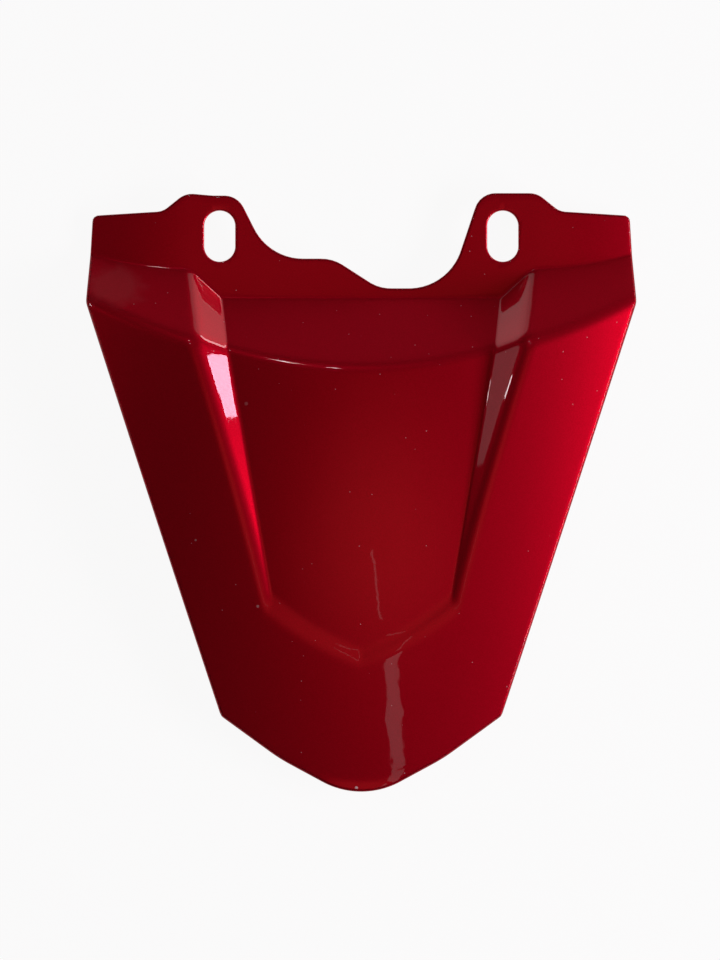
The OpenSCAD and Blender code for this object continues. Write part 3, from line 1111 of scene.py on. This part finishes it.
def floor_material(colour):
    """Pale floor that shows white to the camera and keeps a soft shadow."""
    made, tree, shader, _ = material("pale_floor")
    tree.nodes.remove(shader)
    matt = node(tree, "ShaderNodeBsdfDiffuse", Color=(*colour, 1))
    glow = node(tree, "ShaderNodeEmission", Color=(1, 1, 1, 1), Strength=1)
    rays = tree.nodes.new("ShaderNodeLightPath").outputs
    seen = rays["Is Camera Ray"]
    for ray in ("Is Glossy Ray", "Is Transmission Ray"):
        seen = combine(tree, "ShaderNodeMath", "MAXIMUM", seen, rays[ray])
    blend = tree.nodes.new("ShaderNodeMixShader")
    parts = (multiply(tree, seen, FLOOR_WHITE), matt.outputs[0], glow.outputs[0])
    for output, socket in zip(parts, blend.inputs):
        tree.links.new(output, socket)
    tree.links.new(blend.outputs[0], tree.nodes["Material Output"].inputs["Surface"])
    return made


def studio_world():
    """A dark room with a pale horizon and a soft red glow overhead, a little towards the nose."""
    world = bpy.data.worlds.new("studio")
    bpy.context.scene.world = world
    world.use_nodes = True
    tree = world.node_tree
    place = tree.nodes.new("ShaderNodeTexCoord").outputs["Generated"]
    split = node(tree, "ShaderNodeSeparateXYZ", Vector=place)
    colour = mix_colour(tree, ramp(tree, split.outputs["Z"], *HORIZON_FADE), HORIZON, DARK)
    facing = combine(tree, "ShaderNodeVectorMath", "DOT_PRODUCT", place, GLOW_MIDDLE)
    glow = ramp(tree, facing, *GLOW_FADE)
    colour = mix_colour(tree, multiply(tree, glow, glow), colour, GLOW)
    feed_all(tree, tree.nodes["Background"], Color=colour, Strength=1)


FLOOR_SIZE = 12
FLOOR_STEPS = 8
# How far the floor lies under the cover, so that the two don't touch
FLOOR_DROP = 0.1 * MM
SENSOR_MM = 36
CAMERA_REACH = 50


class TAILCOVER_OT_stage(bpy.types.Operator):
    """Adds the floor, the lamps, the world and the camera"""

    bl_idname = "tail_cover.make_stage"
    bl_label = "Make the stage"

    def execute(self, context):
        stage = context.scene.tail_cover_stage
        clear_selection()
        bpy.ops.mesh.primitive_grid_add(
            x_subdivisions=FLOOR_STEPS, y_subdivisions=FLOOR_STEPS, size=FLOOR_SIZE,
            location=(0, 0, cad_low.z - FLOOR_DROP))
        floor = context.object
        floor.name = "floor"
        bpy.ops.object.transform_apply(location=True, rotation=True, scale=True)
        floor.data.materials.append(floor_material(stage.floor_colour))
        studio_world()
        for lamp in LAMPS:
            area_lamp(*lamp)
        bpy.ops.object.camera_add(location=(*stage.view_centre[:2], stage.camera_height))
        camera = context.object
        camera.name = "camera"
        reach = stage.camera_height - stage.view_centre[2]
        camera.data.sensor_fit = "VERTICAL"
        camera.data.sensor_height = SENSOR_MM
        camera.data.lens = SENSOR_MM * reach / stage.view_height
        camera.data.clip_end = CAMERA_REACH
        context.scene.camera = camera
        context.scene.view_settings.view_transform = "Standard"
        return {"FINISHED"}


class TAILCOVER_PT_panel(bpy.types.Panel):
    """Sizes, colours and buttons of the tail cover"""

    bl_idname = "TAILCOVER_PT_panel"
    bl_label = "Tail cover"
    bl_space_type = "VIEW_3D"
    bl_region_type = "UI"
    bl_category = "Tail cover"

    def draw(self, context):
        for key in GROUPS:
            group = getattr(context.scene, key)
            for name in group.bl_rna.properties.keys():
                if name not in ("rna_type", "name"):
                    self.layout.prop(group, name)
        self.layout.operator(TAILCOVER_OT_shell.bl_idname)
        self.layout.operator(TAILCOVER_OT_stage.bl_idname)


GROUPS = {
    "tail_cover_shell": TAILCOVER_PG_shell,
    "tail_cover_paint": TAILCOVER_PG_paint,
    "tail_cover_stage": TAILCOVER_PG_stage,
}
CLASSES = (*GROUPS.values(), TAILCOVER_OT_shell, TAILCOVER_OT_stage, TAILCOVER_PT_panel)


def register():
    for cls in CLASSES:
        bpy.utils.register_class(cls)
    for key, group in GROUPS.items():
        setattr(bpy.types.Scene, key, bpy.props.PointerProperty(type=group))


def unregister():
    for key in GROUPS:
        delattr(bpy.types.Scene, key)
    for cls in reversed(CLASSES):
        bpy.utils.unregister_class(cls)


def main():
    register()
    bpy.ops.tail_cover.make_shell()
    bpy.ops.tail_cover.make_stage()


if __name__ == "__main__":
    main()
